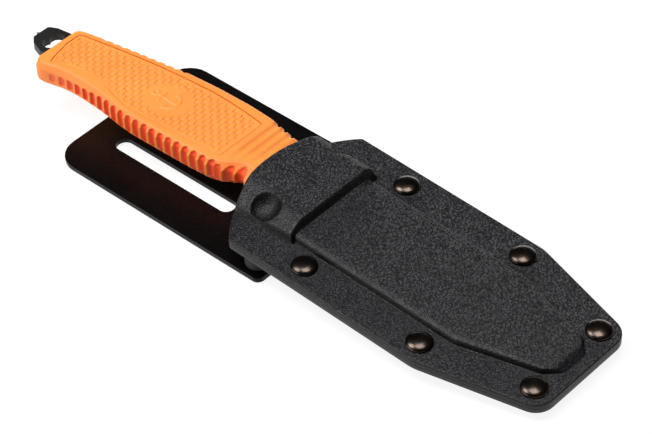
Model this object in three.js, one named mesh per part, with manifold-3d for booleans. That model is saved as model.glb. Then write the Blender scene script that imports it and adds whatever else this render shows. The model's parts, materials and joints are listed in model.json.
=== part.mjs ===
// A fixed-blade rigging knife in its sheath, with a slotted plate behind it for a 50 mm belt or strap.
//
// The knife is one bar of steel whose tang runs through the handle and ends in a lanyard eye. Two rigid
// core halves close round the tang, a soft orange grip is moulded over them, and each side of the grip
// carries a textured panel. The sheath is two thermoformed shells held together by six capped rivets,
// and its back shell carries the flat belt plate on two spacers.
//
// Sizes are in millimetres. The knife and sheath are laid out on their own axis: +X from the butt
// to the tip, Z = 0 on the plane where the shells meet, X = 0 at the first pair of rivets. That layout
// then tips forward until the belt plate lies flat and the end of the sheath meets the same surface.
import * as THREE from "three";
import { mergeVertices } from "three/addons/utils/BufferGeometryUtils.js";
import Module from "manifold-3d";

const wasm = await Module();
wasm.setup();

// ---------------------------------------------------------------- driving sizes
const SHEET = 1.85; // thermoplastic sheet of both shells
const SEAM = 0.1; // room left between faces that meet
const PLATE_THICKNESS = 1.7;
const TILT = THREE.MathUtils.degToRad(3); // sheath axis against the belt plate
const AXIS_PLACE = new THREE.Vector3(27.21, 0, 8.7); // the layout's origin in the part's frame

const SHEATH = {
  halfWidth: 31.3,
  mouthRadius: 44.2, // the mouth is cut on one arc
  mouthX: -38.8,
  taperX: 51,
  endX: 92.6,
  endHalfWidth: 20.5,
};

const HANDLE_POCKET = {
  top: 7,
  endX: -9.6,
  endRimX: -11.9,
  shoulder: 3.8, // the side walls rise steeply to here, then lean in to the rim
  lowFoot: -19.8,
  lowShoulder: -18.8,
  lowRimAtMouth: -9.6,
  lowRimAtEnd: -13.4,
  highFoot: 20.5,
  highRim: 18.8,
};

const BLADE_POCKET = {
  top: 4.15,
  halfWidth: 18.1,
  taperX: 56.1,
  noseX: 83.7,
  noseHalfWidth: 9.7,
  endX: 88.6,
  sideDraft: 0.8,
  endDraft: 3.2,
};

const DIMPLE = { x: -26, lowRadius: 6.5, highRadius: 4.4 };

const RIVETS = [
  [0, 24],
  [48, 24.4],
  [85.4, 15.4],
];
const RIVET = { head: 4.4, dome: 1.9, tube: 1.9, bore: 1.45, pin: 1.3 };

const PLATE = {
  lowX: -81.6,
  highX: 13.7,
  halfWidth: 31.7,
  buttCorner: 9,
  frontCorner: 2.5,
  slotFrom: -69.8,
  slotTo: -15.8,
  slotInner: 9.8,
  slotOuter: 15.8,
};
const PLATE_FIXING = { x: -19, y: 25.3, spacer: 4.5, barrel: 2.3, shank: 1.4 };

const BLADE = {
  halfThickness: 1.6,
  edgeHalf: 0.2,
  halfWidth: 13.6,
  heelX: -8,
  taperX: 46,
  tipX: 80.5,
  tipHalfWidth: 7.5,
  grind: 6.5,
};
const SERRATION = { from: 4, to: 44, pitch: 5, depth: 1.3 };

const TANG = { endX: -144.8, centreY: -2, eyeX: -138.2, eyeRadius: 2.7, eyeSpread: 1.6 };
const BREAKER = { radius: 0.95, tipX: -147.2, seat: 2.6 };

const GRIP_HALF_THICKNESS = 4.6;
const PANEL_DEPTH = 1.2;
const PANEL_PROUD = 0.15;
const CORE_PEGS = [
  [-104, -1],
  [-62, 1],
];

// ---------------------------------------------------------------- solids
function solidOf(geometry) {
  const bare = geometry.clone();
  bare.deleteAttribute("normal");
  bare.deleteAttribute("uv");
  const merged = mergeVertices(bare, 1e-4);
  return new wasm.Manifold(
    new wasm.Mesh({
      numProp: 3,
      vertProperties: merged.attributes.position.array,
      triVerts: new Uint32Array(merged.index.array),
    }),
  );
}

function geometryOf(solid) {
  const mesh = solid.getMesh();
  const geometry = new THREE.BufferGeometry();
  geometry.setAttribute("position", new THREE.BufferAttribute(mesh.vertProperties, 3));
  geometry.setIndex(new THREE.BufferAttribute(mesh.triVerts, 1));
  geometry.computeVertexNormals();
  return geometry;
}

// The same geometry on the other side of the plane Z = 0, still facing out.
function flipped(geometry) {
  const turned = geometry.index ? geometry.toNonIndexed() : geometry.clone();
  const place = turned.attributes.position;
  for (let i = 0; i < place.count; i += 3) {
    const corners = [0, 2, 1].map((k) => new THREE.Vector3().fromBufferAttribute(place, i + k));
    corners.forEach((c, k) => place.setXYZ(i + k, c.x, c.y, -c.z));
  }
  return turned;
}

// A closed skin over rings of 3D points that all have the same count, with flat caps.
function loft(rings, capAxes) {
  const count = rings[0].length;
  const points = rings.flat();
  const faces = [];
  for (let r = 0; r + 1 < rings.length; r++) {
    for (let i = 0; i < count; i++) {
      const j = (i + 1) % count;
      const a = r * count + i;
      const b = r * count + j;
      faces.push([a, b, b + count], [a, b + count, a + count]);
    }
  }
  const flat = (ring) => ring.map((p) => new THREE.Vector2(p[capAxes[0]], p[capAxes[1]]));
  const last = (rings.length - 1) * count;
  for (const [a, b, c] of THREE.ShapeUtils.triangulateShape(flat(rings[0]), [])) faces.push([c, b, a]);
  for (const [a, b, c] of THREE.ShapeUtils.triangulateShape(flat(rings.at(-1)), []))
    faces.push([last + a, last + b, last + c]);
  const geometry = new THREE.BufferGeometry();
  const flatPoints = points.flatMap((p) => [p.x, p.y, p.z]);
  geometry.setAttribute("position", new THREE.Float32BufferAttribute(flatPoints, 3));
  geometry.setIndex(faces.flat());
  return geometry;
}

// Plan outlines stacked at rising heights.
function stack(outlines, heights) {
  const rings = outlines.map((line, i) => line.map(([x, y]) => new THREE.Vector3(x, y, heights[i])));
  return loft(rings, ["x", "y"]);
}

const slab = (outline, low, high) => stack([outline, outline], [low, high]);

// A polygon given as [x, y, corner radius], counter-clockwise, with its corners turned into arcs.
function rounded(corners, steps = 5) {
  const out = [];
  corners.forEach(([x, y, radius = 0], i) => {
    if (!radius) {
      out.push([x, y]);
      return;
    }
    const here = new THREE.Vector2(x, y);
    const from = new THREE.Vector2(...corners.at(i - 1)).sub(here).normalize();
    const to = new THREE.Vector2(...corners[(i + 1) % corners.length]).sub(here).normalize();
    const half = Math.acos(THREE.MathUtils.clamp(from.dot(to), -1, 1)) / 2;
    const middle = from.clone().add(to).normalize().multiplyScalar(radius / Math.sin(half)).add(here);
    const start = here.clone().addScaledVector(from, radius / Math.tan(half)).sub(middle).angle();
    const stop = here.clone().addScaledVector(to, radius / Math.tan(half)).sub(middle).angle();
    const sweep = THREE.MathUtils.euclideanModulo(stop - start + Math.PI, 2 * Math.PI) - Math.PI;
    for (let k = 0; k <= steps; k++) {
      const a = start + (sweep * k) / steps;
      out.push([middle.x + radius * Math.cos(a), middle.y + radius * Math.sin(a)]);
    }
  });
  return out;
}

// A turned piece: profile of [radius, height] from the axis back to the axis, standing at (x, y).
function turned(profile, x, y, sides = 20) {
  const lathe = new THREE.LatheGeometry(
    profile.map(([r, h]) => new THREE.Vector2(r, h)),
    sides,
  );
  return lathe.rotateX(Math.PI / 2).translate(x, y, 0);
}

const drum = (radius, low, high, x, y, sides = 20) =>
  turned([[0, low], [radius, low], [radius, high], [0, high]], x, y, sides);

const ball = (radius, x, y, z) =>
  new THREE.SphereGeometry(radius, 28, 16).translate(x, y, z);

// ---------------------------------------------------------------- sheath shells
function sheathOutline() {
  const s = SHEATH;
  const centreX = s.mouthX + s.mouthRadius;
  const cornerX = centreX - Math.sqrt(s.mouthRadius ** 2 - s.halfWidth ** 2);
  const reach = Math.asin(s.halfWidth / s.mouthRadius);
  const arc = [];
  for (let k = 1; k < 12; k++) {
    const a = reach - (2 * reach * k) / 12;
    arc.push([centreX - s.mouthRadius * Math.cos(a), s.mouthRadius * Math.sin(a)]);
  }
  return rounded([
    [cornerX, -s.halfWidth, 2.5],
    [s.taperX, -s.halfWidth, 14],
    [s.endX, -s.endHalfWidth, 7],
    [s.endX, s.endHalfWidth, 7],
    [s.taperX, s.halfWidth, 14],
    [cornerX, s.halfWidth, 2.5],
    ...arc,
  ]);
}

// Foot, shoulder and rim of the bulge that holds the handle. It runs out past the mouth.
function handlePocket(inset, drop) {
  const p = HANDLE_POCKET;
  const level = (end, lowMouth, lowEnd, high) => [
    [-60, lowMouth + inset],
    [end - inset, lowEnd + inset],
    [end - inset, high - inset],
    [-60, high - inset],
  ];
  const part = p.shoulder / p.top;
  const shoulderX = THREE.MathUtils.lerp(p.endX, p.endRimX, part);
  const shoulderHigh = THREE.MathUtils.lerp(p.highFoot, p.highRim, part);
  const foot = level(p.endX, p.lowFoot, p.lowFoot, p.highFoot);
  const shoulder = level(shoulderX, p.lowShoulder, p.lowShoulder, shoulderHigh);
  const rim = level(p.endRimX, p.lowRimAtMouth, p.lowRimAtEnd, p.highRim);
  return stack([foot, shoulder, rim], [-SEAM - (inset ? 1 : 0), p.shoulder - drop, p.top - drop]);
}

function bladePocket(inset, drop) {
  const p = BLADE_POCKET;
  const line = (out, end) =>
    rounded([
      [-20, -p.halfWidth + out],
      [p.taperX, -p.halfWidth + out, 8],
      [p.noseX - out / 2, -p.noseHalfWidth + out, 2],
      [p.endX - end, -p.noseHalfWidth / 2, 3],
      [p.endX - end, p.noseHalfWidth / 2, 3],
      [p.noseX - out / 2, p.noseHalfWidth - out, 2],
      [p.taperX, p.halfWidth - out, 8],
      [-20, p.halfWidth - out],
    ], 3);
  const foot = line(inset, inset);
  const rim = line(inset + p.sideDraft, inset + p.endDraft);
  return stack([foot, rim], [-SEAM - (inset ? 1 : 0), p.top - drop]);
}

// Two thumb-sized dents beside the mouth press on the guard and hold the knife in.
function dimples(extra) {
  return [
    ball(DIMPLE.lowRadius + extra, DIMPLE.x, -18.8, 8.5),
    ball(DIMPLE.highRadius + extra, DIMPLE.x, 22, 6.2),
  ].map(solidOf);
}

function shellSolid() {
  const outline = sheathOutline();
  const room = solidOf(slab(outline, SEAM / 2, 20));
  let outer = solidOf(slab(outline, SEAM / 2, SHEET));
  outer = outer.add(solidOf(handlePocket(0, 0)).intersect(room));
  outer = outer.add(solidOf(bladePocket(0, 0)).intersect(room));
  let shell = outer.subtract(solidOf(handlePocket(SHEET, SHEET)));
  shell = shell.subtract(solidOf(bladePocket(SHEET, SHEET)));
  for (const dent of dimples(SHEET)) shell = shell.add(dent.intersect(outer));
  for (const dent of dimples(0)) shell = shell.subtract(dent);
  for (const [x, y] of RIVETS)
    for (const side of [-1, 1])
      shell = shell.subtract(solidOf(drum(RIVET.tube + SEAM, -5, 5, x, side * y)));
  return shell;
}

const frontShell = () => geometryOf(shellSolid());

// The back shell is the same forming, with a seat for the head of each threaded barrel.
function backShell() {
  let shell = shellSolid();
  for (const side of [-1, 1]) {
    const y = side * PLATE_FIXING.y;
    shell = shell.subtract(solidOf(drum(PLATE_FIXING.barrel + 0.2, -5, 5, PLATE_FIXING.x, y)));
    shell = shell.subtract(solidOf(drum(4.3, -1, 1.05, PLATE_FIXING.x, y)));
  }
  return flipped(geometryOf(shell));
}

// ---------------------------------------------------------------- rivets
// A domed cap with a pin. The pin snaps into the tube of the socket behind.
function rivetCap(x, y) {
  const under = SHEET + SEAM / 2;
  const dome = [];
  for (let k = 0; k <= 5; k++) {
    const a = (Math.PI / 2) * (k / 5);
    dome.push([RIVET.head * Math.cos(a), under + 0.35 + (RIVET.dome - 0.35) * Math.sin(a)]);
  }
  dome.at(-1)[0] = 0;
  return turned([[0, -1.2], [RIVET.pin, -1.2], [RIVET.pin, under], [RIVET.head, under], ...dome], x, y);
}

function rivetSocket(x, y) {
  const under = -SHEET - SEAM / 2;
  return turned(
    [
      [0, under - 1.1],
      [2.4, under - 1],
      [RIVET.head - 0.4, under - 0.6],
      [RIVET.head, under - 0.2],
      [RIVET.head, under],
      [RIVET.tube, under],
      [RIVET.tube, SHEET - 0.2],
      [RIVET.bore, SHEET - 0.2],
      [RIVET.bore, -1.4],
      [0, -1.4],
    ],
    x,
    y,
  );
}

// ---------------------------------------------------------------- belt plate and its fixings
// Places the layout's axis frame in the part's frame.
const axisFrame = new THREE.Matrix4().compose(
  AXIS_PLACE,
  new THREE.Quaternion().setFromAxisAngle(new THREE.Vector3(0, 1, 0), TILT),
  new THREE.Vector3(1, 1, 1),
);

// The plate lies level, so it is drawn in the part's own frame.
function beltPlate() {
  const p = PLATE;
  const outline = rounded([
    [p.lowX, -p.halfWidth, p.buttCorner],
    [p.highX, -p.halfWidth, p.frontCorner],
    [p.highX, p.halfWidth, p.frontCorner],
    [p.lowX, p.halfWidth, p.buttCorner],
  ], 7);
  let plate = solidOf(slab(outline, 0, PLATE_THICKNESS));
  const end = (p.slotOuter - p.slotInner) / 2 - 0.01;
  for (const side of [-1, 1]) {
    const low = Math.min(side * p.slotInner, side * p.slotOuter);
    const high = Math.max(side * p.slotInner, side * p.slotOuter);
    const slot = rounded([
      [p.slotFrom, low, end],
      [p.slotTo, low, end],
      [p.slotTo, high, end],
      [p.slotFrom, high, end],
    ], 6);
    plate = plate.subtract(solidOf(slab(slot, -1, PLATE_THICKNESS + 1)));
    const hole = screwForm(side, 0.2).applyMatrix4(axisFrame);
    plate = plate.subtract(solidOf(hole));
  }
  return geometryOf(plate);
}

// A countersunk screw, point up, or with extra room the hole that it sits in.
function screwForm(side, extra) {
  const head = -9.4;
  const r = PLATE_FIXING.shank + extra;
  const profile = [
    [0, extra ? head - 2 : head],
    [3.2 + extra, extra ? head - 2 : head],
    [3.2 + extra, head + 0.3],
    [r, head + 2],
    [r, -3],
    [0, -3],
  ];
  return turned(profile, PLATE_FIXING.x, side * PLATE_FIXING.y);
}

// A flanged barrel, threaded inside, whose head is trapped between the two shells.
function threadedBarrel(side) {
  const inside = PLATE_FIXING.shank + 0.15;
  const profile = [
    [0, -2.8],
    [inside, -2.8],
    [inside, -7.2],
    [PLATE_FIXING.barrel, -7.2],
    [PLATE_FIXING.barrel, -0.9],
    [4, -0.9],
    [4, -0.2],
    [0, -0.2],
  ];
  return turned(profile, PLATE_FIXING.x, side * PLATE_FIXING.y);
}

// A rubber spacer between the back shell and the plate, cut to the plate's angle.
function plateSpacer(side) {
  const inner = PLATE_FIXING.barrel + 0.2;
  const high = -SHEET - SEAM;
  const tube = turned(
    [[inner, -9], [PLATE_FIXING.spacer, -9], [PLATE_FIXING.spacer, high], [inner, high], [inner, -9]],
    PLATE_FIXING.x,
    side * PLATE_FIXING.y,
  );
  const below = new THREE.BoxGeometry(60, 80, 20).translate(0, 0, PLATE_THICKNESS + 2 * SEAM - 10);
  below.applyMatrix4(axisFrame.clone().invert());
  return geometryOf(solidOf(tube).subtract(solidOf(below)));
}

// ---------------------------------------------------------------- blade
// One side of the blade from heel to tip: where its edge lies, and where its grind meets the flat.
function bladeSide(serrated) {
  const b = BLADE;
  const edge = [];
  const flat = [];
  for (let x = b.heelX + 3; x <= b.tipX - 1; x += 1.25) {
    const run = Math.max(0, (x - b.taperX) / (b.tipX - b.taperX));
    const reach = THREE.MathUtils.lerp(b.halfWidth, b.tipHalfWidth, run ** 1.3);
    const inTeeth = serrated && x > SERRATION.from && x < SERRATION.to;
    const bite = inTeeth ? SERRATION.depth * Math.abs(Math.sin((Math.PI * x) / SERRATION.pitch)) : 0;
    const start = THREE.MathUtils.smoothstep(x, b.heelX + 3, b.heelX + 12);
    edge.push([x, reach - bite]);
    flat.push([x - 3 * run, Math.max(2.5, reach - b.grind * start)]);
  }
  return { edge, flat };
}

function blade() {
  const b = BLADE;
  const t = TANG;
  const low = bladeSide(false);
  const high = bladeSide(true);
  const mirror = (line) => line.map(([x, y]) => [x, -y]);
  const back = (line) => [...line].reverse();
  const tangHigh = [
    [b.heelX, 12.4],
    [b.heelX - 3, 6.5],
    [-58, 6.5],
    [-110, 4.6],
    [-136, 4.4],
    [-141.6, 3.4],
    [t.endX + 0.4, 1.9],
  ];
  const tangLow = [
    [t.endX, 1.2],
    [t.endX, -5.2],
    [t.endX + 2.2, -7.2],
    [-138, -8.6],
    [-130, -8.6],
    [-110, -6.4],
    [-58, -4],
    [b.heelX - 3, -5],
    [b.heelX, -12.4],
  ];
  const edgeRing = [...mirror(low.edge), [b.tipX, -6.6], [b.tipX, 6.6], ...back(high.edge), ...tangHigh, ...tangLow];
  const flatRing = [
    ...mirror(low.flat),
    [b.tipX - 3, -2.3],
    [b.tipX - 3, 2.3],
    ...back(high.flat),
    ...tangHigh,
    ...tangLow,
  ];
  const rings = [flatRing, edgeRing, edgeRing, flatRing];
  const heights = [-b.halfThickness, -b.edgeHalf, b.edgeHalf, b.halfThickness];
  let steel = solidOf(stack(rings, heights));
  for (const side of [-1, 1]) {
    const eye = drum(t.eyeRadius, -5, 5, t.eyeX, t.centreY + side * t.eyeSpread, 28);
    steel = steel.subtract(solidOf(eye));
  }
  for (const [x, y] of CORE_PEGS) steel = steel.subtract(solidOf(drum(2.5, -5, 5, x, y, 16)));
  const seat = new THREE.CylinderGeometry(BREAKER.radius + 0.05, BREAKER.radius + 0.05, 8, 16);
  seat.rotateZ(Math.PI / 2).translate(t.endX + BREAKER.seat - 4, t.centreY, 0);
  return geometryOf(steel.subtract(solidOf(seat)));
}

// The hard pin in the end of the tang that breaks glass.
function breakerTip() {
  const length = TANG.endX + BREAKER.seat - 0.1 - BREAKER.tipX;
  const pin = new THREE.LatheGeometry(
    [[0, 0], [BREAKER.radius, 0], [BREAKER.radius, length - 1.3], [0.15, length], [0, length]].map(
      ([r, h]) => new THREE.Vector2(r, h),
    ),
    16,
  );
  return pin.rotateZ(Math.PI / 2).translate(BREAKER.tipX + length, TANG.centreY, 0);
}

// ---------------------------------------------------------------- handle
// Stations along the grip: x, low side, high side, half thickness, low bevel, height of the side wall.
const GRIP_STATIONS = [
  [-134, -12.6, 4.6, 3.7, 1.2, 2],
  [-133.4, -14.3, 6, 4.3, 1.4, 2.3],
  [-132.2, -15.5, 6.9, 4.5, 1.5, 2.5],
  [-130, -15.9, 7.6, GRIP_HALF_THICKNESS, 1.5, 2.5],
  [-126.5, -14.9, 8.4, GRIP_HALF_THICKNESS, 1.5, 2.5],
  [-122.6, -13.8, 9.3, GRIP_HALF_THICKNESS, 1.5, 2.5],
  [-113.4, -13, 11.2, GRIP_HALF_THICKNESS, 1.5, 2.5],
  [-104.2, -13.1, 12.9, GRIP_HALF_THICKNESS, 1.5, 2.5],
  [-95, -14, 14.6, GRIP_HALF_THICKNESS, 1.5, 2.5],
  [-88.6, -14.3, 15.8, GRIP_HALF_THICKNESS, 1.5, 2.5],
  [-76.6, -13.7, 17.1, GRIP_HALF_THICKNESS, 1.5, 2.5],
  [-62.8, -12.9, 17.9, GRIP_HALF_THICKNESS, 1.5, 2.5],
  [-53.6, -12, 17.8, GRIP_HALF_THICKNESS, 1.7, 2.5],
  [-49, -11, 17.3, 4.5, 3.2, 2.2],
  [-46, -9.2, 16.9, 4.4, 4.2, 1.9],
  [-43, -8, 16.4, 4.4, 4.4, 1.7],
  [-38, -9.4, 15.6, 4.5, 5, 1.4],
  [-33, -12, 15, 4.7, 6, 1.2],
  [-14.6, -12.4, 14.8, 4.7, 6, 1.2],
];
const HIGH_BEVEL = 1.4;

function gripSection([x, low, high, half, lowBevel, wall]) {
  const side = [
    [low, wall],
    [low + lowBevel, half],
    [high - HIGH_BEVEL, half],
    [high, Math.max(wall, 2.2)],
  ];
  const top = side.map(([y, z]) => new THREE.Vector3(x, y, z)).reverse();
  const bottom = side.map(([y, z]) => new THREE.Vector3(x, y, -z));
  return [...bottom, ...top];
}

// Core that closes round the tang, in plan. The same line, let out, is the hollow in the grip.
const coreOutline = (out) => [
  [-128 - out, -10.6 - out],
  [-118, -10 - out],
  [-104, -9 - out],
  [-88, -9.4 - out],
  [-56, -9 - out],
  [-47, -5.2 - out],
  [-40, -5.2 - out],
  [-16, -6.8 - out],
  [-16, 11 + out],
  [-50, 12.5 + out],
  [-62, 13 + out],
  [-90, 11.5 + out],
  [-128 - out, 4.6 + out],
];
const CORE_HALF = 3;

// The textured panel, in plan. Its long low side dips to make room for the heel of the hand.
function panelOutline(out) {
  const dip = new THREE.SplineCurve(
    [
      [-127.6, -12.4],
      [-121.5, -9.4],
      [-113, -8.2],
      [-105.5, -8.4],
      [-99.4, -9.9],
      [-93.6, -11],
    ].map(([x, y]) => new THREE.Vector2(x, y)),
  );
  const high = new THREE.SplineCurve(
    [
      [-54, 12.9],
      [-67.2, 13.2],
      [-81, 12.6],
      [-104, 9.5],
      [-130, 4.2],
    ].map(([x, y]) => new THREE.Vector2(x, y)),
  );
  return [
    ...dip.getPoints(10).map((p) => [p.x, p.y - out]),
    [-53 + out, -7.4 - out],
    [-53 + out, 11.9 + out],
    ...high.getPoints(10).map((p) => [p.x, p.y + out]),
    [-131.1 - out, 3.2],
    [-130.9 - out, -2],
    [-129.4 - out, -9],
  ];
}

function gripOvermould() {
  let grip = solidOf(loft(GRIP_STATIONS.map(gripSection), ["y", "z"]));
  grip = grip.subtract(solidOf(slab(coreOutline(SEAM), -CORE_HALF - SEAM, CORE_HALF + SEAM)));
  const butt = [[-140, -9], [-120, -9], [-120, 5], [-140, 5]];
  const neck = [[-20, -7.2], [-5, -12.8], [-5, 12.8], [-20, 7.2]];
  const tangRoom = BLADE.halfThickness + SEAM;
  grip = grip.subtract(solidOf(slab(butt, -tangRoom, tangRoom)));
  grip = grip.subtract(solidOf(slab(neck, -tangRoom, tangRoom)));
  const recess = slab(panelOutline(SEAM), GRIP_HALF_THICKNESS - PANEL_DEPTH, 10);
  grip = grip.subtract(solidOf(recess)).subtract(solidOf(flipped(recess)));
  return geometryOf(grip);
}

const gripPanel = () =>
  slab(panelOutline(0), GRIP_HALF_THICKNESS - PANEL_DEPTH + SEAM, GRIP_HALF_THICKNESS + PANEL_PROUD);

// Half of the rigid core, with a channel for the tang. The front half's pegs go through the tang.
function coreHalf(isFront) {
  let core = solidOf(slab(coreOutline(0), SEAM / 2, CORE_HALF));
  const channel = [
    [-140, -10],
    [-110, -7],
    [-58, -4.3],
    [-5, -5.6],
    [-5, 7],
    [-58, 7],
    [-110, 5],
    [-140, 5],
  ];
  core = core.subtract(solidOf(slab(channel, -1, BLADE.halfThickness + SEAM)));
  for (const [x, y] of CORE_PEGS) {
    if (isFront) core = core.add(solidOf(drum(2.3, -CORE_HALF + 0.6, 2, x, y, 16)));
    else core = core.subtract(solidOf(drum(2.4, -1, CORE_HALF - 0.5, x, y, 16)));
  }
  const made = geometryOf(core);
  return isFront ? made : flipped(made);
}

// ---------------------------------------------------------------- finishes
const finish = (color, roughness, metalness) =>
  new THREE.MeshStandardMaterial({ color, roughness, metalness });

const shellBlack = finish(0x2a2a2d, 0.62, 0);
const plateBlack = finish(0x161616, 0.3, 0);
const gripOrange = finish(0xf5761f, 0.55, 0);
const panelOrange = finish(0xf5822e, 0.6, 0);
const coreBlack = finish(0x202020, 0.6, 0);
const bladeCoat = finish(0x1d1e20, 0.45, 0.6);
const carbide = finish(0x8d9094, 0.35, 1);
const rivetBlack = finish(0x1a1512, 0.2, 0.9);
const screwBlack = finish(0x191919, 0.35, 0.9);
const spacerRubber = finish(0x141414, 0.8, 0);

// ---------------------------------------------------------------- assembly
const part = new THREE.Group();
const onAxis = new THREE.Group();
onAxis.position.copy(AXIS_PLACE);
onAxis.rotation.y = TILT;
part.add(onAxis);

function place(group, name, geometry, material) {
  const mesh = new THREE.Mesh(geometry, material);
  mesh.name = name;
  group.add(mesh);
}

place(onAxis, "blade", blade(), bladeCoat);
place(onAxis, "breaker_tip", breakerTip(), carbide);
place(onAxis, "core_front_half", coreHalf(true), coreBlack);
place(onAxis, "core_back_half", coreHalf(false), coreBlack);
place(onAxis, "grip_overmould", gripOvermould(), gripOrange);
place(onAxis, "front_grip_panel", gripPanel(), panelOrange);
place(onAxis, "back_grip_panel", flipped(gripPanel()), panelOrange);

place(onAxis, "front_shell", frontShell(), shellBlack);
place(onAxis, "back_shell", backShell(), shellBlack);
let number = 0;
for (const [x, y] of RIVETS) {
  for (const side of [-1, 1]) {
    number += 1;
    place(onAxis, `rivet_cap_${number}`, rivetCap(x, side * y), rivetBlack);
    place(onAxis, `rivet_socket_${number}`, rivetSocket(x, side * y), rivetBlack);
  }
}

place(part, "belt_plate", beltPlate(), plateBlack);
for (const [side, word] of [[-1, "low"], [1, "high"]]) {
  place(onAxis, `plate_spacer_${word}`, plateSpacer(side), spacerRubber);
  place(onAxis, `plate_screw_${word}`, screwForm(side, 0), screwBlack);
  place(onAxis, `plate_barrel_${word}`, threadedBarrel(side), screwBlack);
}

export default part;
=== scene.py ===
import json
import math

import bmesh
import bpy
import numpy as np
from mathutils import Matrix, Vector
from mathutils.geometry import delaunay_2d_cdt


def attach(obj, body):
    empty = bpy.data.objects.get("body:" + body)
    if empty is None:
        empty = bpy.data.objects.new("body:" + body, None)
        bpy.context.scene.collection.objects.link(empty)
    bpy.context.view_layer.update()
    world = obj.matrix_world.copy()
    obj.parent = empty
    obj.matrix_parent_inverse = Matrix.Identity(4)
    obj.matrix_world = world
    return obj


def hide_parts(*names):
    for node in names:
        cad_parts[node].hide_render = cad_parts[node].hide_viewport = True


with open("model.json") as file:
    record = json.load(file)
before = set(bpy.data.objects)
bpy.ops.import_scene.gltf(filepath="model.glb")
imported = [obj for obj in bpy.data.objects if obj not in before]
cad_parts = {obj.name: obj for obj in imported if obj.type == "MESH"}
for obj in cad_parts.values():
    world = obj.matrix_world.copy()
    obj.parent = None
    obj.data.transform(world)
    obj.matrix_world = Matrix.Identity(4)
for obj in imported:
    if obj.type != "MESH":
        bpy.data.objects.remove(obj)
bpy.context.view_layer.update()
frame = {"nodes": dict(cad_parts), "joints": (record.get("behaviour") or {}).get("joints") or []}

# ---------------------------------------------------------------- the common axis
# The knife draws out of the sheath along one axis, three degrees off the flat of the belt plate.
# Every piece but the plate is laid out on that axis in millimetres, from its butt at -X to the tip
# at +X, with Z = 0 where the two shells meet.
TILT = math.asin(frame["joints"][0]["axis"][2])
AXIS_ORIGIN = (0.02721, 0, 0.0087)
MILLIMETRE = 0.001
axis_place = Matrix.Translation(AXIS_ORIGIN) @ Matrix.Rotation(TILT, 4, "Y")
on_axis = axis_place @ Matrix.Scale(MILLIMETRE, 4)

# ---------------------------------------------------------------- camera
# A long lens above the belly side, with the closed end of the sheath nearest. Its place and its turn
# are given on the common axis.
CAMERA_PLACE = (0.3982, -0.4244, 0.5812)
CAMERA_BEARING = 44.11
CAMERA_DOWNWARD = 44.66
CAMERA_ROLL = -1.84
camera = bpy.data.objects.new("camera", bpy.data.cameras.new("camera"))
camera.data.lens = 143.56
camera.data.sensor_width = 36
camera.data.clip_start = 0.05
camera.data.clip_end = 20
bearing = Matrix.Rotation(math.radians(CAMERA_BEARING), 4, "Z")
downward = Matrix.Rotation(math.radians(90 - CAMERA_DOWNWARD), 4, "X")
roll = Matrix.Rotation(math.radians(CAMERA_ROLL), 4, "Z")
camera.matrix_world = axis_place @ Matrix.Translation(CAMERA_PLACE) @ bearing @ downward @ roll
bpy.context.scene.collection.objects.link(camera)
bpy.context.scene.camera = camera
bpy.context.scene.view_settings.view_transform = "Standard"


# ---------------------------------------------------------------- floor and light
# A white table in a dim studio. Two softboxes above light the tops, and a low card along each side
# lights the walls, flutes and rims that face it.
FLOOR_HALF = 3
FLOOR_LEVEL = -0.0004


def plain_material(name, color, roughness, metallic=0.0):
    material = bpy.data.materials.new(name)
    material.use_nodes = True
    shader = material.node_tree.nodes["Principled BSDF"]
    shader.inputs["Base Color"].default_value = (*color, 1)
    shader.inputs["Roughness"].default_value = roughness
    shader.inputs["Metallic"].default_value = metallic
    return material, material.node_tree.nodes, material.node_tree.links, shader


floor_mesh = bpy.data.meshes.new("floor")
corner_signs = ((-1, -1), (1, -1), (1, 1), (-1, 1))
floor_corners = [(x * FLOOR_HALF, y * FLOOR_HALF, FLOOR_LEVEL) for x, y in corner_signs]
floor_mesh.from_pydata(floor_corners, [], [(0, 1, 2, 3)])
floor = bpy.data.objects.new("floor", floor_mesh)
bpy.context.scene.collection.objects.link(floor)
floor_white, _, _, floor_shader = plain_material("table_white", (0.16, 0.16, 0.16), 0.9)
floor_shader.inputs["Emission Color"].default_value = (1, 1, 1, 1)
floor_shader.inputs["Emission Strength"].default_value = 0.88
floor_mesh.materials.append(floor_white)


def softbox(name, place, size, watts):
    """A rectangular light that faces the middle of the table."""
    light = bpy.data.lights.new(name, "AREA")
    light.shape = "RECTANGLE"
    light.size, light.size_y = size
    light.energy = watts
    lamp = bpy.data.objects.new(name, light)
    lamp.location = place
    lamp.rotation_euler = (-Vector(place)).to_track_quat("-Z", "Y").to_euler()
    bpy.context.scene.collection.objects.link(lamp)


softbox("key", (-0.4, -0.26, 0.86), (0.42, 0.42), 6.2)
softbox("overhead", (0.04, 0.1, 0.95), (0.42, 0.42), 5)
softbox("front_card", (-0.5, -0.82, 0.32), (1.1, 0.5), 4)
softbox("back_card", (-0.56, 1.0, 0.13), (1.0, 0.22), 2.2)

world = bpy.data.worlds.new("studio")
world.use_nodes = True
world.node_tree.nodes["Background"].inputs["Color"].default_value = (1, 1, 1, 1)
world.node_tree.nodes["Background"].inputs["Strength"].default_value = 0.035
bpy.context.scene.world = world


# ---------------------------------------------------------------- blade
# One bar of coated steel: the double-ground blade, the tang through the handle and the lanyard eye
# at its bare end. The bevel asked for on its arrises comes out only a few microns wide on this solid,
# so they stay sharp.
ARRIS_SEGMENTS = 2
BLADE_ARRIS = 0.00032


def link(name, mesh, body, material, replaced):
    """Put a piece in the scene, on its body, in place of the plain solids that it stands for."""
    piece = bpy.data.objects.new(name, mesh)
    bpy.context.scene.collection.objects.link(piece)
    mesh.materials.clear()
    mesh.materials.append(material)
    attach(piece, body)
    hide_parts(*replaced)


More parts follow.
